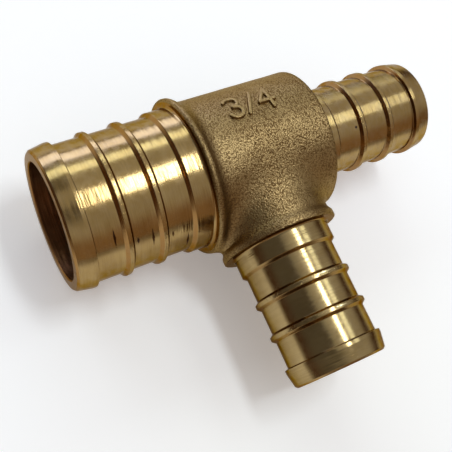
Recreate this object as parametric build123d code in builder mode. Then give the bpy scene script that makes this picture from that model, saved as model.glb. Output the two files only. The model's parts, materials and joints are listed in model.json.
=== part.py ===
from build123d import *
from math import radians, tan
import os

# A cast brass reducing tee with three ribbed insert ends, made as one piece.
# The run lies along X, with the large end towards -X and the small end towards +X.
# The branch leaves towards -Y. The axes of the run and the branch cross at the origin.

# Insert ends: crests that fill each tube, and the wall left between ribs and waterway
large_crest_radius = 8.53
small_crest_radius = 5.95
large_wall = 1.19
small_wall = 1.01

# Insert ends: lengths measured back from the nose, shared by all three ends
lip_length = 2.45
lip_taper_length = 1.9
lip_step_length = 0.12
rib_start = 5.58
rib_pitch = 4.04
rib_count = 2
rib_ramp_length = 0.36
rib_crest_width = 0.46
rib_back_length = 0.3
land_length = 2.64

# Insert ends: small heights and edge breaks
rib_height = 0.44
nose_drop = 0.3
nose_break = 0.24
mouth_break = 0.12
root_fillet = 0.3

# Cast boss that carries the branch, with a rim at its shoulder
boss_step = 0.9
boss_height = 2.58
boss_blend_radius = 1.9
rim_height = 0.35
rim_width = 0.75
rim_slope_length = 0.6
rim_edge_round = 0.15
rim_back_round = 0.4
rim_foot_round = 1.0

# Cast body along the run, with a collar beside the large end
body_step = 0.19
body_end_round = 0.3
large_shoulder_reach = 1.1
small_shoulder_reach = 1.45
collar_height = 0.84
collar_width = 0.6
collar_slope_length = 1.0
collar_edge_round = 0.3
collar_back_round = 0.6
foot_round_margin = 0.1

# Waterways: the large bore stops in a drilled cone a little past the branch
drill_margin = 0.3
drill_point_angle = 118.0

overrun = 2.0
match_tolerance = 0.001

# Radii and shoulders that follow from the sizes above
large_bore_radius = large_crest_radius - rib_height - large_wall
small_bore_radius = small_crest_radius - rib_height - small_wall
body_radius = large_crest_radius + body_step
collar_radius = body_radius + collar_height
collar_foot_round = boss_blend_radius + foot_round_margin
boss_radius = small_crest_radius + boss_step
rim_radius = boss_radius + rim_height
large_bore_end_offset = small_bore_radius + drill_margin

insert_length = rib_start + rib_count * rib_pitch + land_length
large_shoulder_offset = boss_radius + large_shoulder_reach
small_shoulder_offset = boss_radius + small_shoulder_reach
branch_shoulder_offset = body_radius + boss_height
large_nose = large_shoulder_offset + insert_length
small_nose = small_shoulder_offset + insert_length
branch_nose = branch_shoulder_offset + insert_length

large_outward = (-1, 0, 0)
small_outward = (1, 0, 0)
branch_outward = (0, -1, 0)

insert_ends = [
    (large_outward, large_crest_radius, large_shoulder_offset),
    (small_outward, small_crest_radius, small_shoulder_offset),
    (branch_outward, small_crest_radius, branch_shoulder_offset),
]


def insert_outline(crest_radius, shoulder_offset):
    """Return the half outline of one solid insert end, from its axis out, nose last."""
    tube_radius = crest_radius - rib_height
    nose = shoulder_offset + insert_length
    outline = [
        (0, 0),
        (nose, 0),
        (nose, crest_radius - nose_drop - nose_break),
        (nose - nose_break, crest_radius - nose_drop),
        (nose - lip_taper_length, crest_radius),
        (nose - lip_length + lip_step_length, crest_radius),
        (nose - lip_length, tube_radius),
    ]
    for rib in range(rib_count):
        ramp_foot = nose - rib_start - rib * rib_pitch
        crest_front = ramp_foot - rib_ramp_length
        crest_back = crest_front - rib_crest_width
        outline += [
            (ramp_foot, tube_radius),
            (crest_front, crest_radius),
            (crest_back, crest_radius),
            (crest_back - rib_back_length, tube_radius),
        ]
    land_foot = nose - rib_start - rib_count * rib_pitch
    outline += [
        (land_foot, tube_radius),
        (land_foot - rib_ramp_length, crest_radius),
        (0, crest_radius),
    ]
    return outline


def outward_plane(outward):
    """Return the sketch plane whose local X points out along an end."""
    return Plane(origin=(0, 0, 0), x_dir=outward, z_dir=(0, 0, 1))


def land_edge(edges, outward, crest_radius, shoulder_offset):
    """Return the round edges where a land of this radius meets its shoulder."""
    centre = Vector(outward) * shoulder_offset
    return [
        edge
        for edge in edges.filter_by(GeomType.CIRCLE)
        if abs(edge.radius - crest_radius) < match_tolerance
        and (edge.arc_center - centre).length < match_tolerance
    ]


# The cast body is first made longer than its shoulders, so that the boss blend can run out
with BuildPart() as casting:
    with BuildSketch(outward_plane(small_outward)):
        with BuildLine():
            collar_back = collar_width - large_shoulder_offset
            FilletPolyline(
                (-large_shoulder_offset - overrun, 0),
                (-large_shoulder_offset - overrun, collar_radius),
                (collar_back, collar_radius),
                (collar_back + collar_slope_length, body_radius),
                (small_shoulder_offset + overrun, body_radius),
                (small_shoulder_offset + overrun, 0),
                radius=[0, 0, collar_back_round, collar_foot_round, 0, 0],
                close=True,
            )
        make_face()
    revolve(axis=Axis.X)

    # Boss for the branch, blended into the body and the collar's back
    with BuildSketch(Plane.XZ):
        Circle(boss_radius)
    extrude(amount=branch_shoulder_offset)
    fillet(casting.edges(Select.NEW).filter_by(GeomType.CIRCLE, reverse=True), boss_blend_radius)

    # Flat shoulders, with the cast edges a little worn round
    split(bisect_by=Plane.YZ.offset(-large_shoulder_offset), keep=Keep.TOP)
    split(bisect_by=Plane.YZ.offset(small_shoulder_offset), keep=Keep.BOTTOM)
    fillet(casting.faces().sort_by(Axis.X)[0].edges(), collar_edge_round)
    fillet(casting.faces().sort_by(Axis.X)[-1].edges(), body_end_round)

with BuildPart() as tee_body:
    add(casting)

    # Rim that the boss widens to at the branch shoulder
    with BuildSketch(outward_plane(branch_outward)):
        with BuildLine():
            rim_foot = branch_shoulder_offset - rim_width - rim_slope_length
            FilletPolyline(
                (branch_shoulder_offset, small_bore_radius),
                (branch_shoulder_offset, rim_radius),
                (branch_shoulder_offset - rim_width, rim_radius),
                (rim_foot, boss_radius),
                (rim_foot - rim_foot_round, boss_radius),
                (rim_foot - rim_foot_round, small_bore_radius),
                radius=[0, rim_edge_round, rim_back_round, rim_foot_round, 0, 0],
                close=True,
            )
        make_face()
    revolve(axis=Axis.Y)

    # Solid insert ends, each turned about its own axis
    for outward, crest_radius, shoulder_offset in insert_ends:
        with BuildSketch(outward_plane(outward)):
            with BuildLine():
                Polyline(*insert_outline(crest_radius, shoulder_offset), close=True)
            make_face()
        revolve(axis=Axis((0, 0, 0), outward))

    # Concave corner where each end's land meets its shoulder
    for outward, crest_radius, shoulder_offset in insert_ends:
        fillet(land_edge(tee_body.edges(), outward, crest_radius, shoulder_offset), root_fillet)

    # Waterway of the run: large bore, drilled cone, small bore
    with BuildSketch(outward_plane(small_outward)):
        with BuildLine():
            cone_length = (large_bore_radius - small_bore_radius) / tan(radians(drill_point_angle / 2))
            Polyline(
                (-large_nose - overrun, 0),
                (-large_nose - overrun, large_bore_radius + mouth_break + overrun),
                (-large_nose + mouth_break, large_bore_radius),
                (large_bore_end_offset, large_bore_radius),
                (large_bore_end_offset + cone_length, small_bore_radius),
                (small_nose - mouth_break, small_bore_radius),
                (small_nose + overrun, small_bore_radius + mouth_break + overrun),
                (small_nose + overrun, 0),
                close=True,
            )
        make_face()
    revolve(axis=Axis.X, mode=Mode.SUBTRACT)

    # Waterway of the branch, which opens into the large bore
    with BuildSketch(outward_plane(branch_outward)):
        with BuildLine():
            Polyline(
                (0, 0),
                (0, small_bore_radius),
                (branch_nose - mouth_break, small_bore_radius),
                (branch_nose + overrun, small_bore_radius + mouth_break + overrun),
                (branch_nose + overrun, 0),
                close=True,
            )
        make_face()
    revolve(axis=Axis.Y, mode=Mode.SUBTRACT)

tee_body.part.label = "tee_body"

os.makedirs("parts", exist_ok=True)
export_step(tee_body.part, "parts/tee_body.step")
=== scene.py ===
"""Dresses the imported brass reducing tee: cast body, turned insert ends, floor, lamps and camera.

Lengths of the fitting, its finishes and the camera's offset are millimetres in the row frame, and
become metres when a mesh or a node is made. Lengths of the floor and the lamps are metres.
"""

import json
import logging
import math
from dataclasses import dataclass, field
from enum import Enum
from typing import Callable, Mapping, Sequence, Union

import bmesh
import bpy
import numpy as np
from mathutils import Matrix, Vector

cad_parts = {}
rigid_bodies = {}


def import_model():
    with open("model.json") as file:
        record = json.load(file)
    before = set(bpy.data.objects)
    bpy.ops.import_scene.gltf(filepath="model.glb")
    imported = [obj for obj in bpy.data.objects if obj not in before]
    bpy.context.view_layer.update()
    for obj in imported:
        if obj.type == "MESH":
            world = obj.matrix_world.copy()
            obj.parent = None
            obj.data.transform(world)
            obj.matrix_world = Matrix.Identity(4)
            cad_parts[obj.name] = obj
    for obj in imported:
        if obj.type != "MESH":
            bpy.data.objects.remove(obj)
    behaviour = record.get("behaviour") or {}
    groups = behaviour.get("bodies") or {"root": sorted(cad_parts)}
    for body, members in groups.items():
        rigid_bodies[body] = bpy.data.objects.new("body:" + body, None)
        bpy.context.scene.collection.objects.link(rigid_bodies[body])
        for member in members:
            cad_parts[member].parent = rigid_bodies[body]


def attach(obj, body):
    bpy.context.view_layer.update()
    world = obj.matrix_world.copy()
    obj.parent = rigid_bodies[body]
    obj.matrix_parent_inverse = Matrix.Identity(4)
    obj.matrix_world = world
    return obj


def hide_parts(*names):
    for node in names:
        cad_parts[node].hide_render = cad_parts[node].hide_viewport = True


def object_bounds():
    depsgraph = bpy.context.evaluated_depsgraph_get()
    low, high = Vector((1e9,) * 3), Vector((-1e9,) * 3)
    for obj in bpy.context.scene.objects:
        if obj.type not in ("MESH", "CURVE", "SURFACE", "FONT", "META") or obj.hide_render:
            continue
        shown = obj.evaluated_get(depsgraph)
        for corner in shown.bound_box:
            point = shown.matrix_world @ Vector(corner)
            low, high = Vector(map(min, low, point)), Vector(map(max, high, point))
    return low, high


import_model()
cad_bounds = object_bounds()

LOG = logging.getLogger("tee")
NODE = "tee_body"
BODY = "root"

METRES_PER_MM = 0.001

# Points nearer than this are joined
JOIN_MM = 0.001

# A corner nearer to straight than this isn't rounded
STRAIGHT_RADIANS = 1e-3

# An edge that turns more than this is shaded sharp
SHARP_DEGREES = 40.0

# Keeps a division clear of zero
TINY = 1e-12

Colour = tuple[float, float, float]
Point2 = tuple[float, float]

# Where a soft change in a noise starts and ends
SOFT_LEVELS: Point2 = (0.3, 0.7)


# Outlines and meshes


@dataclass(frozen=True)
class Corner:
    """A corner of an outline: place along the axis, distance from it, and the round on it."""

    along: float
    out: float
    round: float = 0.0


def rounded_outline(corners: Sequence[Corner], arc_steps: int) -> np.ndarray:
    """Sample an open outline with its corners rounded.

    Args:
        corners: the corners in order, the first and last of them sharp.
        arc_steps: straight pieces in each rounded corner.

    Returns:
        The points as rows of (along, out).
    """
    places = np.array([(corner.along, corner.out) for corner in corners], float)
    points: list[np.ndarray] = [places[0]]
    for index in range(1, len(corners) - 1):
        here = places[index]
        back = places[index - 1] - here
        ahead = places[index + 1] - here
        back /= np.linalg.norm(back)
        ahead /= np.linalg.norm(ahead)
        inside = math.acos(float(np.clip(back @ ahead, -1.0, 1.0)))
        radius = corners[index].round
        if radius <= 0.0 or inside > math.pi - STRAIGHT_RADIANS:
            points.append(here)
            continue
        reach = radius / math.tan(inside / 2)
        bisector = (back + ahead) / np.linalg.norm(back + ahead)
        centre = here + bisector * radius / math.sin(inside / 2)
        start = here + back * reach - centre
        turn = math.pi - inside
        side = 1.0 if back[0] * ahead[1] < back[1] * ahead[0] else -1.0
        for step in range(arc_steps + 1):
            angle = side * turn * step / arc_steps
            cos, sin = math.cos(angle), math.sin(angle)
            points.append(centre + (cos * start[0] - sin * start[1], sin * start[0] + cos * start[1]))
    points.append(places[-1])
    return np.array(points)


def with_support(outline: np.ndarray, edge: float, longest: float) -> np.ndarray:
    """Add points beside each end of the long straight pieces, so that flats shade flat.

    Args:
        outline: rows of (along, out).
        edge: distance of a support point from the end of its straight piece.
        longest: longest piece left in between.

    Returns:
        The outline with the points added.
    """
    points: list[np.ndarray] = []
    for start, end in zip(outline[:-1], outline[1:]):
        points.append(start)
        length = float(np.linalg.norm(end - start))
        if length < 3 * edge:
            continue
        direction = (end - start) / length
        inner = length - 2 * edge
        count = max(1, math.ceil(inner / longest))
        for step in range(count + 1):
            points.append(start + direction * (edge + inner * step / count))
    points.append(outline[-1])
    return np.array(points)


class Way(Enum):
    """The way that an end points out from the crossing, with the two directions across it."""

    LARGE = ((-1, 0, 0), (0, 1, 0), (0, 0, 1))
    SMALL = ((1, 0, 0), (0, 1, 0), (0, 0, 1))
    BRANCH = ((0, -1, 0), (1, 0, 0), (0, 0, 1))

    def axis_index(self) -> int:
        """Return the number of the row axis that the end points along, 0 for X and 1 for Y."""
        return 0 if self.value[0][0] else 1

    def place(self, along: np.ndarray, out: np.ndarray, angle: np.ndarray) -> np.ndarray:
        """Turn places round this end's axis into points of the row frame.

        Args:
            along: distances from the crossing along the axis.
            out: distances from the axis.
            angle: angles round it, in radians.

        Returns:
            The points, in millimetres.
        """
        axis, across, up = (np.array(row, float) for row in self.value)
        ring = np.cos(angle)[..., None] * across + np.sin(angle)[..., None] * up
        return along[..., None] * axis + out[..., None] * ring


def mesh_object(
    name: str, points: np.ndarray, faces: Sequence[Sequence[int]], finish: bpy.types.Material
) -> bpy.types.Object:
    """Make a closed object, with every face turned to look outward.

    Args:
        name: name of the object.
        points: rows of x, y, z, in millimetres.
        faces: corner numbers of each face.
        finish: material of every face.

    Returns:
        The new object, linked into the scene.
    """
    mesh = bpy.data.meshes.new(name)
    mesh.from_pydata((points * METRES_PER_MM).tolist(), [], faces)
    mesh.materials.append(finish)
    work = bmesh.new()
    work.from_mesh(mesh)
    bmesh.ops.recalc_face_normals(work, faces=work.faces)
    work.to_mesh(mesh)
    work.free()
    made = bpy.data.objects.new(name, mesh)
    bpy.context.scene.collection.objects.link(made)
    return made


def turned_solid(
    name: str, way: Way, outline: np.ndarray, segments: int, finish: bpy.types.Material
) -> bpy.types.Object:
    """Turn an outline round an end's axis into a closed solid.

    Args:
        name: name of the object.
        way: the end that the outline belongs to.
        outline: rows of (along, out), the first and last of them on the axis.
        segments: steps round the axis.
        finish: material of the solid.

    Returns:
        The solid.
    """
    angle = np.arange(segments) * 2 * math.pi / segments
    rings = outline[1:-1]
    along = np.repeat(rings[:, :1], segments, axis=1)
    out = np.repeat(rings[:, 1:], segments, axis=1)
    turn = np.repeat(angle[None, :], len(rings), axis=0)
    points = way.place(along, out, turn).reshape(-1, 3)
    ends = way.place(outline[[0, -1], 0], outline[[0, -1], 1], np.zeros(2))
    first, last = len(points), len(points) + 1
    points = np.vstack([points, ends])

    faces: list[tuple[int, ...]] = []
    for step in range(segments):
        ahead = (step + 1) % segments
        faces.append((first, step, ahead))
        for ring in range(len(rings) - 1):
            near, far = ring * segments, (ring + 1) * segments
            faces.append((near + step, far + step, far + ahead, near + ahead))
        far = (len(rings) - 1) * segments
        faces.append((far + step, last, far + ahead))
    return mesh_object(name, points, faces, finish)


# Distance fields for the cast body


def outline_distance(along: np.ndarray, out: np.ndarray, outline: np.ndarray) -> np.ndarray:
    """Signed distance to a closed outline, below zero inside.

    Args:
        along: places along the axis.
        out: distances from the axis.
        outline: rows of (along, out), without the first row again at the end.

    Returns:
        The distance at each place.
    """
    nearest = np.full(along.shape, np.inf)
    inside = np.zeros(along.shape, bool)
    for start, end in zip(outline, np.roll(outline, -1, axis=0)):
        edge = end - start
        from_x, from_y = along - start[0], out - start[1]
        share = np.clip((from_x * edge[0] + from_y * edge[1]) / (edge @ edge), 0.0, 1.0)
        gap = (from_x - share * edge[0]) ** 2 + (from_y - share * edge[1]) ** 2
        nearest = np.minimum(nearest, gap)
        if start[1] == end[1]:
            continue
        crosses = (start[1] > out) != (end[1] > out)
        inside ^= crosses & (from_x < from_y * edge[0] / edge[1])
    return np.where(inside, -1.0, 1.0) * np.sqrt(nearest)


def blended(first: np.ndarray, second: np.ndarray, radius: float) -> np.ndarray:
    """Distance to two joined solids with a round of that radius in the corner between them."""
    corner = np.hypot(np.maximum(radius - first, 0.0), np.maximum(radius - second, 0.0))
    return np.maximum(radius, np.minimum(first, second)) - corner


def trimmed(first: np.ndarray, second: np.ndarray, radius: float) -> np.ndarray:
    """Distance to what two solids share, with a round of that radius on the edge between them."""
    corner = np.hypot(np.maximum(radius + first, 0.0), np.maximum(radius + second, 0.0))
    return np.minimum(-radius, np.maximum(first, second)) + corner


Field = Callable[[np.ndarray], np.ndarray]


@dataclass
class SurfaceNet:
    """Meshes a distance field with one point in each cell that its surface passes through."""

    distance: Field
    low: np.ndarray
    high: np.ndarray
    step: float
    slope_step: float = 0.01
    pulls: int = 2

    def grid(self) -> tuple[np.ndarray, np.ndarray]:
        """Work out the distance at each point of a grid over the whole space.

        Returns:
            The distances, and the number of grid points along each axis.
        """
        counts = np.ceil((self.high - self.low) / self.step).astype(int) + 1
        axes = [self.low[axis] + self.step * np.arange(counts[axis]) for axis in range(3)]
        values = np.empty(counts)
        for index, across in enumerate(axes[0]):
            y, z = np.meshgrid(axes[1], axes[2], indexing="ij")
            values[index] = self.distance(np.stack([np.full_like(y, across), y, z], axis=-1))
        return values, counts

    def slope(self, points: np.ndarray) -> np.ndarray:
        """Work out the way in which the distance grows.

        Args:
            points: rows of x, y, z.

        Returns:
            A unit vector for each point.
        """
        slope = np.empty_like(points)
        for axis in range(3):
            shift = np.zeros(3)
            shift[axis] = self.slope_step
            slope[:, axis] = self.distance(points + shift) - self.distance(points - shift)
        return slope / np.maximum(np.linalg.norm(slope, axis=1, keepdims=True), TINY)

    def mesh(self) -> tuple[np.ndarray, list[tuple[int, ...]]]:
        """Stretch the net over the surface and pull it tight.

        Returns:
            The net's points, and the corner numbers of its four-sided faces.
        """
        values, counts = self.grid()
        inside = values < 0
        cells = tuple(counts - 1)
        total = np.zeros(cells + (3,))
        number = np.zeros(cells)
        edges: list[tuple[int, np.ndarray, np.ndarray]] = []
        for axis in range(3):
            near = [slice(None)] * 3
            far = [slice(None)] * 3
            near[axis], far[axis] = slice(None, -1), slice(1, None)
            crossing = np.argwhere(inside[tuple(near)] != inside[tuple(far)])
            start = values[tuple(near)][tuple(crossing.T)]
            end = values[tuple(far)][tuple(crossing.T)]
            place = crossing.astype(float)
            place[:, axis] += start / (start - end)
            edges.append((axis, crossing, start < 0))
            for first in (0, 1):
                for second in (0, 1):
                    cell = self.beside(crossing, axis, first, second)
                    np.add.at(total, tuple(cell.T), place)
                    np.add.at(number, tuple(cell.T), 1)
        used = number > 0
        index = np.full(cells, -1, np.int64)
        index[used] = np.arange(int(used.sum()))
        points = self.low + self.step * total[used] / number[used][:, None]
        for _ in range(self.pulls):
            points = points - self.distance(points)[:, None] * self.slope(points)
        faces: list[tuple[int, ...]] = []
        for axis, crossing, leaves in edges:
            ring = [self.beside(crossing, axis, *pair) for pair in ((0, 0), (1, 0), (1, 1), (0, 1))]
            corner = np.stack([index[tuple(cell.T)] for cell in ring], axis=1)
            corner[~leaves] = corner[~leaves][:, ::-1]
            faces += [tuple(row) for row in corner.tolist()]
        return points, faces

    @staticmethod
    def beside(crossing: np.ndarray, axis: int, first: int, second: int) -> np.ndarray:
        """Find one of the four cells round each grid edge.

        Args:
            crossing: the grid point where each edge starts.
            axis: the axis that the edges lie along.
            first: 0 or 1, how many cells back along the next axis.
            second: 0 or 1, how many cells back along the one after it.

        Returns:
            The cell's number along each axis.
        """
        cell = crossing.copy()
        cell[:, (axis + 1) % 3] -= first
        cell[:, (axis + 2) % 3] -= second
        return cell


# Shader building


class Value:
    """A number socket that takes part in sums, and adds the Math nodes for them."""

    def __init__(self, shader: "Shader", socket: bpy.types.NodeSocket) -> None:
        """Keep the shader that the socket belongs to."""
        self.shader = shader
        self.socket = socket

    def math(self, operation: str, *others: "Number", first: Union["Number", None] = None) -> "Value":
        """Add one Math node.

        Args:
            operation: the node's operation.
            others: the inputs after this value.
            first: an input to put before this value, or None.

        Returns:
            The node's result.
        """
        inputs = ([] if first is None else [first]) + [self, *others]
        made = self.shader.node("ShaderNodeMath", {"operation": operation}, dict(enumerate(inputs)))
        return Value(self.shader, made.outputs[0])

    def __add__(self, other: "Number") -> "Value":
        """Return the sum."""
        return self.math("ADD", other)

    def __radd__(self, other: "Number") -> "Value":
        """Return the sum."""
        return self.math("ADD", other)

    def __sub__(self, other: "Number") -> "Value":
        """Return the difference."""
        return self.math("SUBTRACT", other)

    def __rsub__(self, other: "Number") -> "Value":
        """Return the difference, the other way round."""
        return self.math("SUBTRACT", first=other)

    def __mul__(self, other: "Number") -> "Value":
        """Return the product."""
        return self.math("MULTIPLY", other)

    def __rmul__(self, other: "Number") -> "Value":
        """Return the product."""
        return self.math("MULTIPLY", other)

    def __truediv__(self, other: "Number") -> "Value":
        """Return the quotient."""
        return self.math("DIVIDE", other)

    def __abs__(self) -> "Value":
        """Return the value without its sign."""
        return self.math("ABSOLUTE")

    def most(self, other: "Number") -> "Value":
        """Return the larger of two values."""
        return self.math("MAXIMUM", other)

    def ramp(self, low: float, high: float, start: float = 0.0, end: float = 1.0) -> "Value":
        """Ease the value from one level to another.

        Args:
            low: the value where the change starts.
            high: the value where it ends.
            start: the level at and before low.
            end: the level at and after high.

        Returns:
            The eased value.
        """
        made = self.shader.node(
            "ShaderNodeMapRange",
            {"interpolation_type": "SMOOTHSTEP", "clamp": True},
            {"Value": self, "From Min": low, "From Max": high, "To Min": start, "To Max": end},
        )
        return Value(self.shader, made.outputs[0])


Number = Union[Value, float]
Input = Union[Value, bpy.types.NodeSocket, float, Sequence[float]]


class Shader:
    """The node tree of a material or a world under construction."""

    def __init__(self, owner: Union[bpy.types.Material, bpy.types.World]) -> None:
        """Start with an empty node tree.

        Args:
            owner: the material or world that is built.
        """
        self.owner = owner
        owner.use_nodes = True
        self.tree = owner.node_tree
        self.tree.nodes.clear()

    def node(
        self,
        kind: str,
        settings: Union[Mapping[str, object], None] = None,
        inputs: Union[Mapping[Union[str, int], Input], None] = None,
    ) -> bpy.types.Node:
        """Add one node.

        Args:
            kind: the node's type.
            settings: its settings, which are set before the inputs.
            inputs: values or links for its sockets, by name or number.

        Returns:
            The node.
        """
        made = self.tree.nodes.new(kind)
        for name, setting in (settings or {}).items():
            setattr(made, name, setting)
        for name, value in (inputs or {}).items():
            if isinstance(value, Value):
                self.tree.links.new(value.socket, made.inputs[name])
            elif isinstance(value, bpy.types.NodeSocket):
                self.tree.links.new(value, made.inputs[name])
            else:
                made.inputs[name].default_value = value
        return made

    def place(self) -> bpy.types.NodeSocket:
        """Return the point on the object, in metres."""
        return self.node("ShaderNodeTexCoord").outputs["Object"]

    def facing(self) -> bpy.types.NodeSocket:
        """Return the way that the object's surface faces."""
        return self.node("ShaderNodeTexCoord").outputs["Normal"]

    def scaled(self, place: bpy.types.NodeSocket, scale: Sequence[float]) -> bpy.types.NodeSocket:
        """Return a place stretched by a scale for each axis."""
        made = self.node("ShaderNodeVectorMath", {"operation": "MULTIPLY"}, {0: place, 1: scale})
        return made.outputs["Vector"]

    def counted(self, place: bpy.types.NodeSocket, size: float) -> bpy.types.NodeSocket:
        """Return a place counted in steps of a size in millimetres."""
        return self.scaled(place, [1 / (size * METRES_PER_MM)] * 3)

    def axes(self, vector: bpy.types.NodeSocket) -> tuple[Value, ...]:
        """Return a vector's three numbers."""
        made = self.node("ShaderNodeSeparateXYZ", {}, {0: vector})
        return tuple(Value(self, output) for output in made.outputs)

    def noise(self, place: bpy.types.NodeSocket, detail: float = 2.0, roughness: float = 0.5) -> Value:
        """Add a noise of about one wave for each unit of place.

        Args:
            place: where the noise is read.
            detail: how many times finer waves are added.
            roughness: how strong each of those is beside the one before it.

        Returns:
            The noise, 0 to 1.
        """
        made = self.node(
            "ShaderNodeTexNoise",
            {"noise_dimensions": "3D"},
            {"Vector": place, "Scale": 1.0, "Detail": detail, "Roughness": roughness},
        )
        return Value(self, made.outputs[0])

    def mix(self, share: Number, first: Input, second: Input) -> bpy.types.NodeSocket:
        """Mix two colours.

        Args:
            share: share of the second colour.
            first: the first colour.
            second: the second colour.

        Returns:
            The colour between them.
        """
        colours = {
            6: (*first, 1.0) if isinstance(first, tuple) else first,
            7: (*second, 1.0) if isinstance(second, tuple) else second,
        }
        made = self.node("ShaderNodeMix", {"data_type": "RGBA"}, {0: share, **colours})
        return made.outputs[2]

    def bump(
        self,
        height: Value,
        distance: float,
        normal: Union[bpy.types.NodeSocket, None] = None,
    ) -> bpy.types.NodeSocket:
        """Bend a normal by a height.

        Args:
            height: the height, 0 to 1.
            distance: what a height of 1 stands for, in millimetres.
            normal: a normal that is bent already, or None.

        Returns:
            The bent normal.
        """
        inputs: dict[Union[str, int], Input] = {
            "Height": height,
            "Distance": distance * METRES_PER_MM,
            "Strength": 1.0,
        }
        if normal is not None:
            inputs["Normal"] = normal
        return self.node("ShaderNodeBump", {}, inputs).outputs[0]

    def finish(self, inputs: Mapping[Union[str, int], Input]) -> bpy.types.Material:
        """Add the surface shader and the output.

        Args:
            inputs: values or links for the surface shader.

        Returns:
            The finished material.
        """
        surface = self.node("ShaderNodeBsdfPrincipled", {}, inputs)
        self.node("ShaderNodeOutputMaterial", {}, {"Surface": surface.outputs[0]})
        return self.owner


# Sizes that the finishes and the fitting share


@dataclass(frozen=True)
class EndSize:
    """What sets one insert end apart: its radii, its shoulder's place and the steps round it."""

    crest_radius: float
    shoulder: float
    face_radius: float
    segments: int
    length: float = 16.3

    def nose(self) -> float:
        """Return the distance from the crossing to the tip."""
        return self.shoulder + self.length


END_SIZES = {
    Way.LARGE: EndSize(crest_radius=8.53, shoulder=7.95, face_radius=9.2, segments=192),
    Way.SMALL: EndSize(crest_radius=5.95, shoulder=8.3, face_radius=8.36, segments=144),
    Way.BRANCH: EndSize(crest_radius=5.95, shoulder=11.3, face_radius=7.02, segments=144),
}
BODY_RADIUS = 8.72

# A crest far outside the fitting, for a bore, which has no ribs to scuff
NO_CREST_RADIUS = 30.0


# Finishes


@dataclass(frozen=True)
class CastSkin:
    """Grainy skin of the cast body, as it left the sand, with painted sparkle on the grain tops and painted
    shade in the pits.

    Grain, grit, lump and stain are the sizes of each kind of mark, and the heights are how far it
    stands out.
    """

    name: str = "cast_skin"
    # bright is painted on the grain tops as sparkle, and dull in the pits as shade
    bright: Colour = (0.39, 0.27, 0.12)
    dull: Colour = (0.135, 0.075, 0.027)
    edge_tint: Colour = (0.6, 0.5, 0.35)
    grain: float = 0.17
    grain_height: float = 0.06
    grit: float = 0.085
    grit_share: float = 0.3
    top_levels: Point2 = (0.45, 0.85)
    lump: float = 0.5
    lump_height: float = 0.05
    stain: float = 6.0
    stain_share: float = 0.3
    roughness: float = 0.3
    roughness_range: float = 0.15

    def material(self) -> bpy.types.Material:
        """Build the material: grain tops painted bright as sparkle, the pits between them painted dull as
        shade, and faint stains.

        Returns:
            The material.
        """
        shader = Shader(bpy.data.materials.new(self.name))
        place = shader.place()
        cells = shader.node(
            "ShaderNodeTexVoronoi",
            {"feature": "F1"},
            {"Vector": shader.counted(place, self.grain), "Scale": 1.0},
        )
        off = Value(shader, cells.outputs["Distance"])
        grit = shader.noise(shader.counted(place, self.grit), 1.0)
        grain = (1.0 - off * off) * (1.0 - self.grit_share) + grit * self.grit_share
        lump = shader.noise(shader.counted(place, self.lump), 1.0)
        stain = shader.noise(shader.counted(place, self.stain))
        # Grain tops are painted bright as sparkle and the pits between them dull as shade; the stains are the
        # metal's own
        sparkle_tops = grain.ramp(*self.top_levels)
        tone = sparkle_tops * (1.0 - self.stain_share) + stain.ramp(*SOFT_LEVELS) * self.stain_share
        return shader.finish(
            {
                "Base Color": shader.mix(tone, self.dull, self.bright),
                "Metallic": 1.0,
                "Roughness": self.roughness + self.roughness_range * (1.0 - sparkle_tops),
                "Specular Tint": (*self.edge_tint, 1.0),
                "Normal": shader.bump(grain, self.grain_height, shader.bump(lump, self.lump_height)),
            }
        )


@dataclass(frozen=True)
class Nick:
    """A nick left by the lathe: place along the end, and from one angle to another."""

    along: float
    start: float
    end: float
    width: float = 0.24


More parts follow.
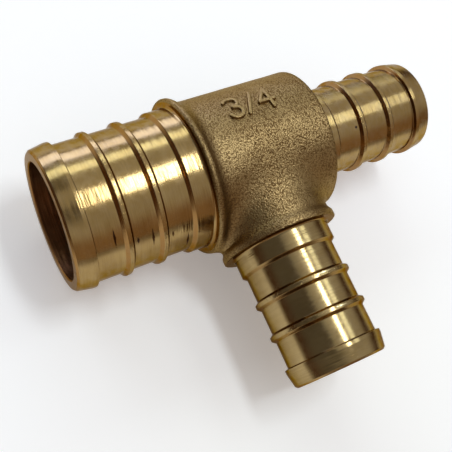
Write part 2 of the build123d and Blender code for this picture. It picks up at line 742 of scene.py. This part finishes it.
@dataclass(frozen=True)
class TurnedBrass:
    """Bright brass as the lathe left it, with fine lines, hazy patches, nicks, scuffed ribs and painted shade
    on the faces that look along the axis.

    Line, cloud, patch and wear are the sizes of each kind of mark. Waves are the detail and the
    roughness of a noise, and levels are where its change starts and ends.
    """

    name: str
    way: Way
    crest_radius: float
    shoulder: float
    nicks: tuple[Nick, ...] = ()
    bright: Colour = (0.42, 0.29, 0.12)
    dull: Colour = (0.3, 0.19, 0.07)
    # Painted shade and reddened bounce light for faces that look along the axis: rib flanks and shoulder
    # faces
    flank: Colour = (0.31, 0.16, 0.05)
    flank_share: float = 0.85
    flank_shade_levels: Point2 = (0.5, 0.75)
    edge_tint: Colour = (0.52, 0.42, 0.29)
    nick_colour: Colour = (0.06, 0.026, 0.01)
    nick_ragged: float = 0.9
    nick_levels: Point2 = (1.8, 1.5)
    line: float = 0.08
    line_stretch: float = 0.02
    line_waves: Point2 = (3.0, 0.7)
    line_tilt: float = 0.5
    cloud: float = 3.0
    cloud_share: float = 0.5
    patch: float = 0.8
    patch_waves: Point2 = (4.0, 0.65)
    patch_levels: Point2 = (0.4, 0.62)
    film: float = 0.3
    film_roughness: float = 0.35
    roughness: float = 0.13
    roughness_range: float = 0.05
    wear: float = 0.22
    wear_levels: Point2 = (0.55, 0.7)
    wear_depth: float = 0.1
    wear_height: float = 0.012
    ribs_reach: Point2 = (2.8, 13.6)
    ribs_fade: float = 0.05

    def material(self) -> bpy.types.Material:
        """Build the material.

        Returns:
            The material.
        """
        shader = Shader(bpy.data.materials.new(self.name))
        place = shader.place()
        axis = self.way.axis_index()
        stretch = [1.0 if index == axis else self.line_stretch for index in range(3)]
        fine = [share / (self.line * METRES_PER_MM) for share in stretch]
        lines = shader.noise(shader.scaled(place, fine), *self.line_waves)
        cloud = shader.noise(shader.counted(place, self.cloud))
        tone = lines.ramp(*SOFT_LEVELS) * (1.0 - self.cloud_share)
        tone = tone + cloud.ramp(*SOFT_LEVELS) * self.cloud_share
        colour = shader.mix(tone, self.dull, self.bright)
        # Faces that look along the axis, the rib flanks and shoulder faces, are painted darker and redder as
        # shade and bounce light
        flank_shade_mask = abs(shader.axes(shader.facing())[axis]).ramp(*self.flank_shade_levels)
        colour = shader.mix(flank_shade_mask * self.flank_share, colour, self.flank)

        sides = shader.axes(shader.counted(place, 1.0))
        along, across, up = sides[axis], sides[1 - axis], sides[2]
        wear = shader.noise(shader.counted(place, self.wear))
        scuffs = wear.ramp(*self.wear_levels) * self.crest_share(along, across, up)
        normal = shader.bump(scuffs, self.wear_height, self.brushed(shader, lines))
        if self.nicks:
            marks = self.nick_share(along, up.math("ARCTAN2", across), wear)
            colour = shader.mix(marks, colour, self.nick_colour)
            normal = shader.bump(1.0 - marks, self.wear_height, normal)
        patches = shader.noise(shader.counted(place, self.patch), *self.patch_waves).ramp(*self.patch_levels)
        haze = lines.ramp(*SOFT_LEVELS[::-1]) + patches
        return shader.finish(
            {
                "Base Color": colour,
                "Metallic": 1.0,
                "Roughness": self.roughness + self.roughness_range * haze,
                "Coat Weight": patches * self.film,
                "Coat Roughness": self.film_roughness,
                "Specular Tint": (*self.edge_tint, 1.0),
                "Normal": normal,
            }
        )

    def brushed(self, shader: Shader, lines: Value) -> bpy.types.NodeSocket:
        """Tip the surface along the axis by the lathe's lines, so that highlights spread that way.

        Args:
            shader: the material's shader.
            lines: the noise of the lines, 0 to 1.

        Returns:
            The tipped normal.
        """
        tipped = shader.node(
            "ShaderNodeVectorMath",
            {"operation": "MULTIPLY_ADD"},
            {0: self.way.value[0], 1: (lines - 0.5) * self.line_tilt, 2: shader.facing()},
        )
        turned = shader.node(
            "ShaderNodeVectorTransform",
            {"vector_type": "NORMAL", "convert_from": "OBJECT", "convert_to": "WORLD"},
            {0: tipped.outputs[0]},
        )
        return turned.outputs[0]

    def crest_share(self, along: Value, across: Value, up: Value) -> Value:
        """Find the crests of the ribs.

        Args:
            along: place along the end's axis, in millimetres.
            across: place along the other level axis.
            up: height over the axes.

        Returns:
            The share of crest at each place, 0 to 1.
        """
        from_axis = (across * across + up * up).math("SQRT")
        crest = from_axis.ramp(self.crest_radius - self.wear_depth, self.crest_radius)
        from_shoulder = abs(along) - self.shoulder
        near, far = self.ribs_reach
        crest = crest * from_shoulder.ramp(near, near + self.ribs_fade)
        return crest * from_shoulder.ramp(far, far - self.ribs_fade)

    def nick_share(self, along: Value, angle: Value, ragged: Value) -> Value:
        """Find the nicks.

        Args:
            along: place along the end's axis, in millimetres.
            angle: angle round it, in radians.
            ragged: a noise that breaks up the nicks' edges.

        Returns:
            The share of nick at each place, 0 to 1.
        """
        sign = sum(self.way.value[0])
        share = None
        for nick in self.nicks:
            middle = math.radians((nick.start + nick.end) / 2)
            reach = math.radians(nick.end - nick.start) / 2
            off = abs(along - sign * nick.along) / (nick.width / 2) + abs(angle - middle) / reach
            here = (off + ragged * self.nick_ragged).ramp(*self.nick_levels)
            share = here if share is None else share.most(here)
        return share


class Finishes:
    """The fitting's materials."""

    def __init__(self) -> None:
        """Build each material once."""
        self.cast = CastSkin().material()
        # The numerals' skin also paints sparkle on its grain tops and shade in its pits, with lighter pits
        self.numerals = CastSkin("worn_skin", grain_height=0.035, dull=(0.26, 0.17, 0.07)).material()
        large_nicks = (
            Nick(19.6, 128, 142),
            Nick(15.35, 139, 153),
            Nick(17.1, 141, 147),
            Nick(11.2, 156, 171),
            Nick(13.05, 147, 152),
        )
        small_nicks = (Nick(13.5, 114, 118, width=0.3),)
        branch_nicks = (Nick(17.3, 75, 96, width=0.16), Nick(21.4, 77, 91, width=0.16))
        self.ends = {
            Way.LARGE: self.turned("turned_large", Way.LARGE, nicks=large_nicks),
            Way.SMALL: self.turned("turned_small", Way.SMALL, nicks=small_nicks, film=0.6),
            Way.BRANCH: self.turned(
                "turned_branch",
                Way.BRANCH,
                nicks=branch_nicks,
                nick_colour=(0.8, 0.66, 0.38),
                # Less painted flank shade on the branch
                flank_share=0.4,
                bright=(0.41, 0.297, 0.132),
                dull=(0.285, 0.195, 0.082),
                edge_tint=(0.35, 0.25, 0.13),
                film=0.24,
            ),
        }
        run_shaded_bore = self.shaded_bore("shaded_bore_run", Way.LARGE)
        self.shaded_bores = {
            Way.LARGE: run_shaded_bore,
            Way.SMALL: run_shaded_bore,
            Way.BRANCH: self.shaded_bore("shaded_bore_branch", Way.BRANCH),
        }

    @staticmethod
    def turned(name: str, way: Way, **options: object) -> bpy.types.Material:
        """Return the finish of a turned end, with what sets it apart as options."""
        size = END_SIZES[way]
        return TurnedBrass(name, way, size.crest_radius, size.shoulder, **options).material()

    @staticmethod
    def shaded_bore(name: str, way: Way) -> bpy.types.Material:
        """Build a bore's brass, painted redder and duller as the shade and bounced light inside it.

        Args:
            name: name of the material.
            way: the end that the bore opens at.

        Returns:
            The material.
        """
        finish = TurnedBrass(
            name,
            way,
            crest_radius=NO_CREST_RADIUS,
            shoulder=0.0,
            # Darker, redder colours painted as the shade and bounced light inside the bore
            bright=(0.36, 0.175, 0.075),
            dull=(0.24, 0.105, 0.04),
            roughness=0.3,
            line=0.2,
            film=0.0,
        )
        return finish.material()


# The fitting


@dataclass
class InsertEnd:
    """A turned end with a lip, ribs and a land, that fills the bore of a tube."""

    name: str
    way: Way
    inner_start: float = 5.5
    face_proud: float = 0.01
    rib_starts: tuple[float, ...] = (5.58, 9.62)
    land_start: float = 13.66
    lip_length: float = 2.45
    lip_taper: float = 1.9
    lip_step: float = 0.12
    rib_height: float = 0.44
    rib_ramp: float = 0.36
    rib_crest: float = 0.46
    rib_back: float = 0.3
    nose_drop: float = 0.3
    nose_break: float = 0.24
    root_round: float = 0.3
    crest_round: float = 0.06
    foot_round: float = 0.05
    arc_steps: int = 3
    support: float = 0.05
    longest: float = 1.0

    def corners(self) -> list[Corner]:
        """Lay out the outline, with the rib starts measured back from the nose.

        Returns:
            The corners from the nose's centre back into the cast body.
        """
        size = END_SIZES[self.way]
        nose, shoulder = size.nose(), size.shoulder
        crest, tube = size.crest_radius, size.crest_radius - self.rib_height
        edge, foot = self.crest_round, self.foot_round
        corners = [
            Corner(nose, 0.0),
            Corner(nose, crest - self.nose_drop - self.nose_break, edge),
            Corner(nose - self.nose_break, crest - self.nose_drop, edge),
            Corner(nose - self.lip_taper, crest, self.root_round),
            Corner(nose - self.lip_length + self.lip_step, crest, edge),
            Corner(nose - self.lip_length, tube, foot),
        ]
        for start in self.rib_starts:
            front = nose - start - self.rib_ramp
            back = front - self.rib_crest
            corners += [
                Corner(nose - start, tube, foot),
                Corner(front, crest, edge),
                Corner(back, crest, edge),
                Corner(back - self.rib_back, tube, foot),
            ]
        face = shoulder + self.face_proud
        corners += [
            Corner(nose - self.land_start, tube, foot),
            Corner(nose - self.land_start - self.rib_ramp, crest, edge),
            Corner(face, crest, self.root_round),
            Corner(face, size.face_radius),
            Corner(shoulder - self.rib_height, tube),
            Corner(self.inner_start, tube),
            Corner(self.inner_start, 0.0),
        ]
        return corners

    def solid(self, finish: bpy.types.Material) -> bpy.types.Object:
        """Turn the end.

        Args:
            finish: the end's material.

        Returns:
            The end as a closed solid, its last stretch sunk in the cast body.
        """
        outline = rounded_outline(self.corners(), self.arc_steps)
        outline = with_support(outline, self.support, self.longest)
        return turned_solid(self.name, self.way, outline, END_SIZES[self.way].segments, finish)


@dataclass
class CastBody:
    """The cast body: a run cylinder with a collar, and a boss with a rim for the branch."""

    body_radius: float = BODY_RADIUS
    collar_radius: float = 9.56
    collar_width: float = 0.6
    collar_slope: float = 1.0
    collar_back_round: float = 0.6
    collar_foot_round: float = 2.0
    large_shoulder: float = END_SIZES[Way.LARGE].shoulder
    small_shoulder: float = END_SIZES[Way.SMALL].shoulder
    end_round: float = 0.3
    boss_radius: float = 6.85
    boss_blend: float = 1.35
    branch_shoulder: float = END_SIZES[Way.BRANCH].shoulder
    rim_radius: float = 7.2
    rim_width: float = 0.75
    rim_slope: float = 0.6
    rim_edge_round: float = 0.15
    rim_back_round: float = 0.4
    rim_foot_round: float = 1.0
    rim_foot_sunk: float = 0.001
    run_over: float = 4.0
    past_axis: float = 5.0
    run_arc_steps: int = 8
    rim_arc_steps: int = 6
    wave: float = 5.0
    wave_height: float = 0.012
    wave_rise: float = 1.6
    margin: float = 1.0
    step: float = 0.23
    run_outline: np.ndarray = field(init=False, repr=False)
    rim_outline: np.ndarray = field(init=False, repr=False)

    def __post_init__(self) -> None:
        """Sample the two turned outlines, which are closed past the axis."""
        back = self.collar_width - self.large_shoulder
        far = self.large_shoulder + self.run_over
        run = [
            Corner(-far, -self.past_axis),
            Corner(-far, self.collar_radius),
            Corner(back, self.collar_radius, self.collar_back_round),
            Corner(back + self.collar_slope, self.body_radius, self.collar_foot_round),
            Corner(far, self.body_radius),
            Corner(far, -self.past_axis),
        ]
        self.run_outline = rounded_outline(run, self.run_arc_steps)
        foot = self.branch_shoulder - self.rim_width - self.rim_slope
        inner = foot - self.rim_foot_round
        rim = [
            Corner(self.branch_shoulder, -self.past_axis),
            Corner(self.branch_shoulder, self.rim_radius, self.rim_edge_round),
            Corner(self.branch_shoulder - self.rim_width, self.rim_radius, self.rim_back_round),
            Corner(foot, self.boss_radius, self.rim_foot_round),
            Corner(inner, self.boss_radius - self.rim_foot_sunk),
            Corner(inner, -self.past_axis),
        ]
        self.rim_outline = rounded_outline(rim, self.rim_arc_steps)

    def distance(self, points: np.ndarray) -> np.ndarray:
        """Work out the signed distance to the body's surface.

        Args:
            points: x, y and z along the last axis.

        Returns:
            The distance at each point, below zero inside.
        """
        x, y, z = points[..., 0], points[..., 1], points[..., 2]
        from_run = np.hypot(y, z)
        from_branch = np.hypot(x, z)
        run = outline_distance(x, from_run, self.run_outline)
        boss = np.maximum(from_branch - self.boss_radius, y)
        solid = blended(run, boss, self.boss_blend)
        solid = np.maximum(solid, -self.branch_shoulder - y)
        solid = np.minimum(solid, outline_distance(-y, from_branch, self.rim_outline))
        solid = trimmed(solid, -self.large_shoulder - x, self.end_round)
        solid = trimmed(solid, x - self.small_shoulder, self.end_round)
        return solid + self.waver(points)

    def waver(self, points: np.ndarray) -> np.ndarray:
        """Work out the casting's slight unevenness, none of it at the flat shoulders.

        Args:
            points: x, y and z along the last axis.

        Returns:
            How far the surface sinks at each point. The waves' shares only keep them apart.
        """
        x, y, z = (points[..., axis] * 2 * math.pi / self.wave for axis in range(3))
        swell = np.sin(x + 0.7 * y) * np.sin(1.1 * z - 0.4 * x) + 0.6 * np.sin(1.7 * y + 1.3 * z + 1.0)
        near = np.minimum(points[..., 0] + self.large_shoulder, self.small_shoulder - points[..., 0])
        near = np.minimum(near, points[..., 1] + self.branch_shoulder)
        return self.wave_height * (swell + self.wave_rise) * np.clip(near, 0.0, 1.0)

    def solid(self, finish: bpy.types.Material) -> bpy.types.Object:
        """Mesh the body.

        Args:
            finish: the body's material.

        Returns:
            The body as a closed solid.
        """
        low = np.array([-self.large_shoulder, -self.branch_shoulder, -self.collar_radius])
        high = np.array([self.small_shoulder, self.collar_radius, self.collar_radius])
        net = SurfaceNet(self.distance, low - self.margin, high + self.margin, self.step)
        points, faces = net.mesh()
        return mesh_object("cast_body", points, faces, finish)


@dataclass
class RaisedNumerals:
    """The size in plain raised strokes on the body: a 3, a slash and a 4."""

    body_radius: float = BODY_RADIUS
    middle: float = 0.3
    middle_angle: float = 67.0
    half_length: float = 3.3
    half_height: float = 1.5
    half_width: float = 0.26
    height: float = 0.27
    sunk: float = 0.16
    draft: float = 0.2
    edge_round: float = 0.07
    margin: float = 0.5
    step: float = 0.08
    bowl_middle: float = -2.15
    bowl_width_share: float = 1.12
    bowl_start: float = 155.0
    bowl_end: float = -90.0
    bowl_points: int = 12
    slash_lean: float = 0.7
    four_left: float = 1.15
    four_stem: float = 2.45
    four_right: float = 3.0
    four_bar: float = -0.4

    def strokes(self) -> list[tuple[Point2, Point2]]:
        """Lay out the numerals flat.

        Returns:
            The strokes' straight pieces, right and up from the middle of the mark.
        """
        tall = self.half_height
        arc = tall / 2
        paths: list[list[Point2]] = []
        for centre, start, end in (
            (arc, self.bowl_start, self.bowl_end),
            (-arc, -self.bowl_end, -self.bowl_start),
        ):
            angles = np.radians(np.linspace(start, end, self.bowl_points))
            wide = self.bowl_width_share * arc
            paths.append(
                [(self.bowl_middle + wide * math.cos(a), centre + arc * math.sin(a)) for a in angles]
            )
        paths.append([(-self.slash_lean, -tall), (self.slash_lean, tall)])
        stem, bar = self.four_stem, self.four_bar
        paths.append([(stem, -tall), (stem, tall), (self.four_left, bar), (self.four_right, bar)])
        return [pair for path in paths for pair in zip(path[:-1], path[1:])]

    def distance(self, points: np.ndarray) -> np.ndarray:
        """Work out the signed distance to the strokes, laid out flat on the body.

        Args:
            points: right, up and out along the last axis.

        Returns:
            The distance at each point, below zero inside.
        """
        flat, out = points[..., :2], points[..., 2]
        nearest = np.full(out.shape, np.inf)
        for start, end in self.strokes():
            edge = np.subtract(end, start)
            share = np.clip((flat - start) @ edge / (edge @ edge), 0.0, 1.0)
            gap = np.linalg.norm(flat - start - share[..., None] * edge, axis=-1)
            nearest = np.minimum(nearest, gap)
        side = nearest - self.half_width + self.draft * np.maximum(out, 0.0)
        return trimmed(side, np.maximum(out - self.height, -self.sunk - out), self.edge_round)

    def solid(self, finish: bpy.types.Material) -> bpy.types.Object:
        """Mesh the numerals flat and bend them round the body.

        Args:
            finish: the numerals' material.

        Returns:
            The numerals as a closed solid, sunk in the body.
        """
        reach = np.array([self.half_length, self.half_height + self.margin, self.margin])
        points, faces = SurfaceNet(self.distance, -reach, reach, self.step, pulls=1).mesh()
        angle = math.radians(self.middle_angle) - points[:, 1] / self.body_radius
        out = self.body_radius + points[:, 2]
        bent = np.stack([points[:, 0] + self.middle, out * np.cos(angle), out * np.sin(angle)], axis=1)
        return mesh_object("numerals", bent, faces, finish)


@dataclass
class Waterways:
    """The bores: a wide one from the large end, and a narrow one from each small end."""

    large_radius: float = 6.9
    small_radius: float = 4.5
    large_end: float = 4.8
    cone_length: float = 1.442
    cone_inside: float = 0.02
    mouth_break: float = 0.12
    mouth_round: float = 0.05
    overrun: float = 0.6
    large_segments: int = 192
    small_segments: int = 128
    arc_steps: int = 3
    support: float = 0.05
    longest: float = 2.0

    def mouth(self, way: Way, radius: float) -> list[Corner]:
        """Lay out a mouth with its edge broken.

        Args:
            way: the end that the bore opens at.
            radius: the bore's radius.

        Returns:
            The corners from the axis outside the mouth to the bore's wall.
        """
        nose = END_SIZES[way].nose()
        wide = radius + self.mouth_break + self.overrun
        return [
            Corner(nose + self.overrun, 0.0),
            Corner(nose + self.overrun, wide),
            Corner(nose - self.mouth_break, radius, self.mouth_round),
        ]

    def solids(self, finishes: Finishes) -> list[bpy.types.Object]:
        """Turn the solids to cut away.

        Args:
            finishes: the fitting's materials.

        Returns:
            One closed solid for each bore.
        """
        cone = self.large_end + self.cone_length
        large = self.mouth(Way.LARGE, self.large_radius) + [
            Corner(-self.large_end, self.large_radius, self.mouth_round),
            Corner(-cone, self.small_radius - self.cone_inside),
            Corner(-cone, 0.0),
        ]
        small = self.mouth(Way.SMALL, self.small_radius) + [
            Corner(cone - self.overrun, self.small_radius),
            Corner(cone - self.overrun, 0.0),
        ]
        branch = self.mouth(Way.BRANCH, self.small_radius) + [
            Corner(0.0, self.small_radius),
            Corner(0.0, 0.0),
        ]
        made = []
        for way, corners, segments in (
            (Way.LARGE, large, self.large_segments),
            (Way.SMALL, small, self.small_segments),
            (Way.BRANCH, branch, self.small_segments),
        ):
            outline = with_support(rounded_outline(corners, self.arc_steps), self.support, self.longest)
            # Each bore gets brass painted darker and redder as shade
            made.append(turned_solid("bore", way, outline, segments, finishes.shaded_bores[way]))
        return made


def combine(target: bpy.types.Object, other: bpy.types.Object, operation: str) -> None:
    """Join or cut two closed solids, and delete the second.

    Args:
        target: the solid that is kept.
        other: the solid that is joined on or cut away.
        operation: UNION or DIFFERENCE.
    """
    step = target.modifiers.new("combine", "BOOLEAN")
    step.operation = operation
    step.solver = "MANIFOLD"
    step.material_mode = "TRANSFER"
    step.object = other
    bpy.context.view_layer.update()
    graph = bpy.context.evaluated_depsgraph_get()
    result = bpy.data.meshes.new_from_object(target.evaluated_get(graph), depsgraph=graph)
    target.modifiers.clear()
    old = target.data
    target.data = result
    bpy.data.meshes.remove(old)
    bpy.data.objects.remove(other)


def join_close_points(made: bpy.types.Object) -> None:
    """Join points that a cut left on top of each other, and drop the faces between them.

    Args:
        made: the object whose mesh is cleaned.
    """
    work = bmesh.new()
    work.from_mesh(made.data)
    bmesh.ops.remove_doubles(work, verts=work.verts, dist=JOIN_MM * METRES_PER_MM)
    bmesh.ops.dissolve_degenerate(work, edges=work.edges, dist=JOIN_MM * METRES_PER_MM)
    work.to_mesh(made.data)
    work.free()


class TeeFitting:
    """The whole fitting, dressed as one closed piece."""

    def __init__(self, finishes: Finishes) -> None:
        """Set out the parts of the fitting.

        Args:
            finishes: the fitting's materials.
        """
        self.finishes = finishes
        self.body = CastBody()
        self.ends = (
            InsertEnd("large_end", Way.LARGE),
            InsertEnd("small_end", Way.SMALL),
            InsertEnd("branch_end", Way.BRANCH),
        )
        self.waterways = Waterways()
        self.numerals = RaisedNumerals()

    def build(self) -> bpy.types.Object:
        """Join the parts, cut the waterways and tie the piece to the frame.

        Returns:
            The piece, which stands for the CAD solid.
        """
        piece = self.body.solid(self.finishes.cast)
        LOG.info("cast body: %d faces", len(piece.data.polygons))
        combine(piece, self.numerals.solid(self.finishes.numerals), "UNION")
        for end in self.ends:
            combine(piece, end.solid(self.finishes.ends[end.way]), "UNION")
        for bore in self.waterways.solids(self.finishes):
            combine(piece, bore, "DIFFERENCE")
        piece.name = "brass_tee"
        piece.data.name = "brass_tee"
        join_close_points(piece)
        piece.data.shade_smooth()
        piece.data.set_sharp_from_angle(angle=math.radians(SHARP_DEGREES))
        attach(piece, BODY)
        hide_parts(NODE)
        mesh = piece.data
        LOG.info("%s: %d faces, %d materials", piece.name, len(mesh.polygons), len(mesh.materials))
        return piece


# Floor, lamps and camera


@dataclass(frozen=True)
class SoftLamp:
    """A soft lamp that hangs well away from the object and faces it.

    Its size is in metres. A lamp overhead has its first side along Y and its second along X, and
    a lamp behind has its first along X and its second upright. A radiance of 1 is seen as white.
    """

    name: str
    toward: tuple[float, float, float]
    size: Point2
    radiance: float
    colour: Colour
    distance: float = 0.6

    def build(self) -> bpy.types.Object:
        """Hang the lamp.

        Returns:
            The lamp.
        """
        light = bpy.data.lights.new(self.name, "AREA")
        light.shape = "RECTANGLE"
        light.size, light.size_y = self.size
        light.energy = self.radiance * math.pi * self.size[0] * self.size[1]
        light.color = self.colour
        made = bpy.data.objects.new(self.name, light)
        out = Vector(self.toward).normalized()
        made.location = out * self.distance
        made.rotation_mode = "QUATERNION"
        made.rotation_quaternion = out.to_track_quat("Z", "Y")
        bpy.context.scene.collection.objects.link(made)
        return made


@dataclass
class Studio:
    """A pale floor with painted shade far from the object, soft lamps and a dim room.

    The floor's reach is in metres from its middle. The room's reaches and heights are parts of the
    way that is looked along, and each pair says where a change starts and ends.
    """

    floor_size: float = 2.4
    near_colour: Colour = (0.98, 0.965, 0.945)
    # Colour of the paper far from the object, painted darker as shade
    far_shade_colour: Colour = (0.5, 0.44, 0.38)
    near_middle: Point2 = (0.0, 0.02)
    near_reach: Point2 = (0.07, 0.15)
    floor_lift: Colour = (0.225, 0.22, 0.22)
    floor_roughness: float = 0.9
    room_colour: Colour = (0.56, 0.55, 0.54)
    left_colour: Colour = (0.15, 0.14, 0.13)
    left_reach: Point2 = (-0.35, 0.2)
    horizon_colour: Colour = (0.11, 0.06, 0.035)
    horizon_reach: Point2 = (0.05, 0.5)
    front_colour: Colour = (0.36, 0.24, 0.15)
    front_height: Point2 = (0.3, 0.75)
    front_reach: Point2 = (-0.3, -0.7)
    lamps: tuple[SoftLamp, ...] = (
        SoftLamp("overhead", (0.262, -0.012, 0.95), (0.236, 0.07), 19.0, (0.84, 0.93, 1.0)),
        SoftLamp("overhead_left", (-0.1, 0.15, 0.97), (0.3, 0.28), 0.35, (0.9, 0.95, 1.0)),
        SoftLamp("overhead_side", (0.57, 0.02, 0.83), (0.22, 0.12), 2.6, (0.78, 0.93, 1.0)),
        SoftLamp("back_high", (0.0, 0.785, 0.62), (0.6, 0.145), 2.5, (0.82, 0.98, 1.0)),
        SoftLamp("back_low", (0.0, 0.985, 0.15), (0.6, 0.19), 4.4, (0.55, 0.63, 1.0)),
        SoftLamp("back_side", (0.61, 0.75, 0.24), (0.16, 0.34), 0.75, (0.8, 0.95, 1.0)),
    )

    def floor(self) -> bpy.types.Object:
        """Lay the floor under the object's lowest point.

        Returns:
            The floor.
        """
        half = self.floor_size / 2
        height = cad_bounds[0].z
        mesh = bpy.data.meshes.new("floor")
        corners = [(-half, -half, height), (half, -half, height), (half, half, height), (-half, half, height)]
        mesh.from_pydata(corners, [], [(0, 1, 2, 3)])
        mesh.materials.append(self.paper())
        made = bpy.data.objects.new("floor", mesh)
        bpy.context.scene.collection.objects.link(made)
        return made

    def paper(self) -> bpy.types.Material:
        """Make pale paper with painted shade that deepens away from the object, that is seen a little whiter
        than lit.

        Returns:
            The material.
        """
        shader = Shader(bpy.data.materials.new("floor_paper"))
        middle = (*self.near_middle, cad_bounds[0].z)
        away = shader.node("ShaderNodeVectorMath", {"operation": "DISTANCE"}, {0: shader.place(), 1: middle})
        near = Value(shader, away.outputs["Value"]).ramp(*self.near_reach, 1.0, 0.0)
        rays = shader.node("ShaderNodeLightPath").outputs
        seen = Value(shader, rays["Is Camera Ray"]).most(Value(shader, rays["Is Glossy Ray"]))
        seen = seen.most(Value(shader, rays["Is Transmission Ray"]))
        return shader.finish(
            {
                # Away from the object the paper is painted darker as shade
                "Base Color": shader.mix(near, self.far_shade_colour, self.near_colour),
                "Roughness": self.floor_roughness,
                "Specular IOR Level": 0.0,
                "Emission Color": shader.mix(seen * near, (0.0, 0.0, 0.0), self.floor_lift),
                "Emission Strength": 1.0,
            }
        )

    def world(self) -> None:
        """Fill the room with a dim light, darker to the left and warmer near the horizon."""
        world = bpy.data.worlds.new("room")
        bpy.context.scene.world = world
        shader = Shader(world)
        toward = shader.node("ShaderNodeTexCoord").outputs["Generated"]
        side, back, height = shader.axes(toward)
        open_room = shader.mix(side.ramp(*self.left_reach), self.left_colour, self.room_colour)
        rear = shader.mix(height.ramp(*self.horizon_reach), self.horizon_colour, open_room)
        front = shader.mix(height.ramp(*self.front_height), self.front_colour, self.room_colour)
        colour = shader.mix(back.ramp(*self.front_reach), rear, front)
        light = shader.node("ShaderNodeBackground", {}, {"Color": colour, "Strength": 1.0})
        shader.node("ShaderNodeOutputWorld", {}, {"Surface": light.outputs[0]})

    def build(self) -> None:
        """Build the floor, the room and the lamps, and report them."""
        self.floor()
        self.world()
        for lamp in self.lamps:
            lamp.build()
        LOG.info("studio: a floor and %d lamps", len(self.lamps))


@dataclass(frozen=True)
class PhotoCamera:
    """The camera that took the photograph, found from the fitting's own outline."""

    rotation: tuple[tuple[float, float, float], ...] = (
        (0.8767596, -0.4102773, 0.2509286),
        (-0.3206125, -0.8875302, -0.3309046),
        (0.3584693, 0.2096729, -0.9096906),
    )
    offset: tuple[float, float, float] = (1.8005866, -8.1940434, 92.2250432)
    focal_pixels: float = 755.59
    picture_pixels: float = 452.0
    sensor: float = 36.0
    clip: Point2 = (0.005, 10.0)

    def build(self) -> bpy.types.Object:
        """Make the camera and show the scene through it.

        Returns:
            The camera.
        """
        lens = bpy.data.cameras.new("camera")
        lens.sensor_width = self.sensor
        lens.lens = self.focal_pixels * self.sensor / self.picture_pixels
        lens.clip_start, lens.clip_end = self.clip
        back = Matrix(self.rotation).transposed()
        place = Matrix.Translation(-(back @ Vector(self.offset)) * METRES_PER_MM)
        made = bpy.data.objects.new("camera", lens)
        made.matrix_world = place @ (back @ Matrix.Diagonal((1.0, -1.0, -1.0))).to_4x4()
        bpy.context.scene.collection.objects.link(made)
        bpy.context.scene.camera = made
        return made


def main() -> None:
    """Build the scene in order and report each piece."""
    logging.basicConfig(level=logging.INFO, format="%(name)s: %(message)s")
    bpy.context.scene.view_settings.view_transform = "Standard"
    PhotoCamera().build()
    Studio().build()
    TeeFitting(Finishes()).build()


if __name__ == "__main__":
    main()
